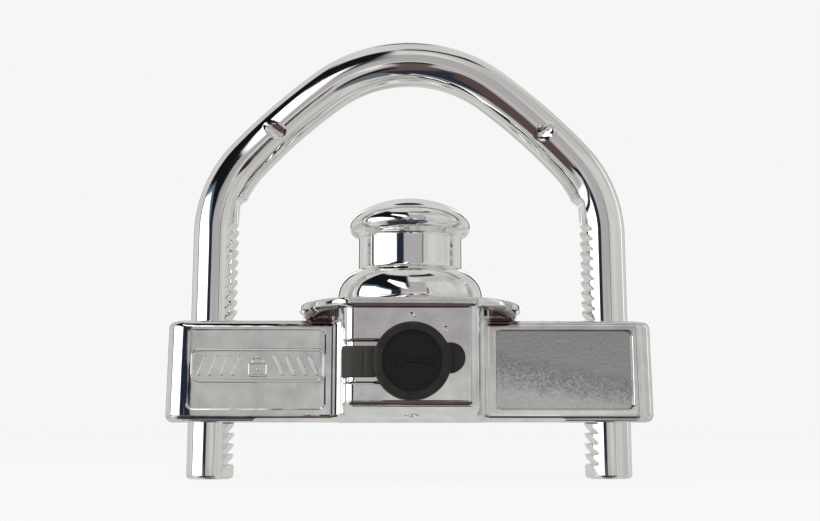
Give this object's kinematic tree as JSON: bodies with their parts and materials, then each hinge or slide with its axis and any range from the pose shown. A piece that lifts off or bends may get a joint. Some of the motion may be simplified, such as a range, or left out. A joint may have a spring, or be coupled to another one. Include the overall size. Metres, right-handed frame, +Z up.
{
  "type": "trailer coupler lock",
  "caption": "U-shackle that ratchets down through a keyed crossbar carrying a ball post, locking an unhitched trailer coupler; a rubber flap covers the keyhole.",
  "frame": {"origin": "on the ball post's axis, on the floor of the seat in the flange that the post stands in", "axes": "+X along the crossbar, +Y away from the keyhole side, +Z up along the ball post and the shackle's legs"},
  "size_m": [0.1652, 0.0755, 0.1545],
  "materials": {
    "shackle": "bright chrome plate",
    "crossbar_casting": "bright chrome plate over cast texture",
    "ball_post": "bright chrome plate",
    "post_pins": "ground",
    "rear_cover": "satin plate",
    "cover_screws": "zinc plated",
    "lock_cylinder": "turned",
    "lock_plug": "turned",
    "wafers": "stamped",
    "cam_disc": "hardened",
    "small_steel": "ground",
    "springs": "spring wire",
    "cap_strap": "matte",
    "dust_cap": "matte",
    "left_pawl": "hardened",
    "right_pawl": "hardened"
  },
  "bodies": {
    "crossbar": {"crossbar_casting": "crossbar_casting", "ball_post": "ball_post", "post_pin_left": "post_pins", "post_pin_right": "post_pins", "rear_cover": "rear_cover", "cover_screw_1": "cover_screws", "cover_screw_2": "cover_screws", "cover_screw_3": "cover_screws", "cover_screw_4": "cover_screws", "cover_screw_5": "cover_screws", "cover_screw_6": "cover_screws", "lock_cylinder": "lock_cylinder", "cylinder_set_screw": "small_steel", "left_pawl_spring": "springs", "right_pawl_spring": "springs", "cap_strap": "cap_strap"},
    "shackle": {"shackle": "shackle"},
    "lock_plug": {"lock_plug": "lock_plug", "wafer_1": "wafers", "wafer_2": "wafers", "wafer_3": "wafers", "wafer_4": "wafers", "wafer_5": "wafers", "cam_disc": "cam_disc", "cam_pin_upper": "small_steel", "cam_pin_lower": "small_steel", "cam_screw": "small_steel"},
    "left_pawl": {"left_pawl": "left_pawl"},
    "right_pawl": {"right_pawl": "right_pawl"},
    "dust_cap": {"dust_cap": "dust_cap"}
  },
  "joints": [
    {"name": "shackle_slide", "type": "slide", "parent": "crossbar", "child": "shackle", "axis": [0, 0, 1], "range_m": [-0.035, 0.056]},
    {"name": "key_turn", "type": "hinge", "parent": "crossbar", "child": "lock_plug", "pos_m": [0, -0.031, -0.02], "axis": [0, -1, 0], "range_deg": [0, 45]},
    {"name": "left_pawl_slide", "type": "slide", "parent": "crossbar", "child": "left_pawl", "axis": [-1, 0, 0], "range_m": [0, 0.0036], "deforming": ["left_pawl_spring"]},
    {"name": "right_pawl_slide", "type": "slide", "parent": "crossbar", "child": "right_pawl", "axis": [1, 0, 0], "range_m": [0, 0.0036], "deforming": ["right_pawl_spring"]},
    {"name": "dust_cap_hinge", "type": "hinge", "parent": "crossbar", "child": "dust_cap", "pos_m": [-0.0153, -0.0314, -0.02], "axis": [0, 0, -1], "range_deg": [0, 110]}
  ],
  "couplings": [
    {"joint": "key_turn", "follows": "left_pawl_slide", "rad_per_m": 218.16},
    {"joint": "right_pawl_slide", "follows": "left_pawl_slide", "ratio": 1}
  ]
}
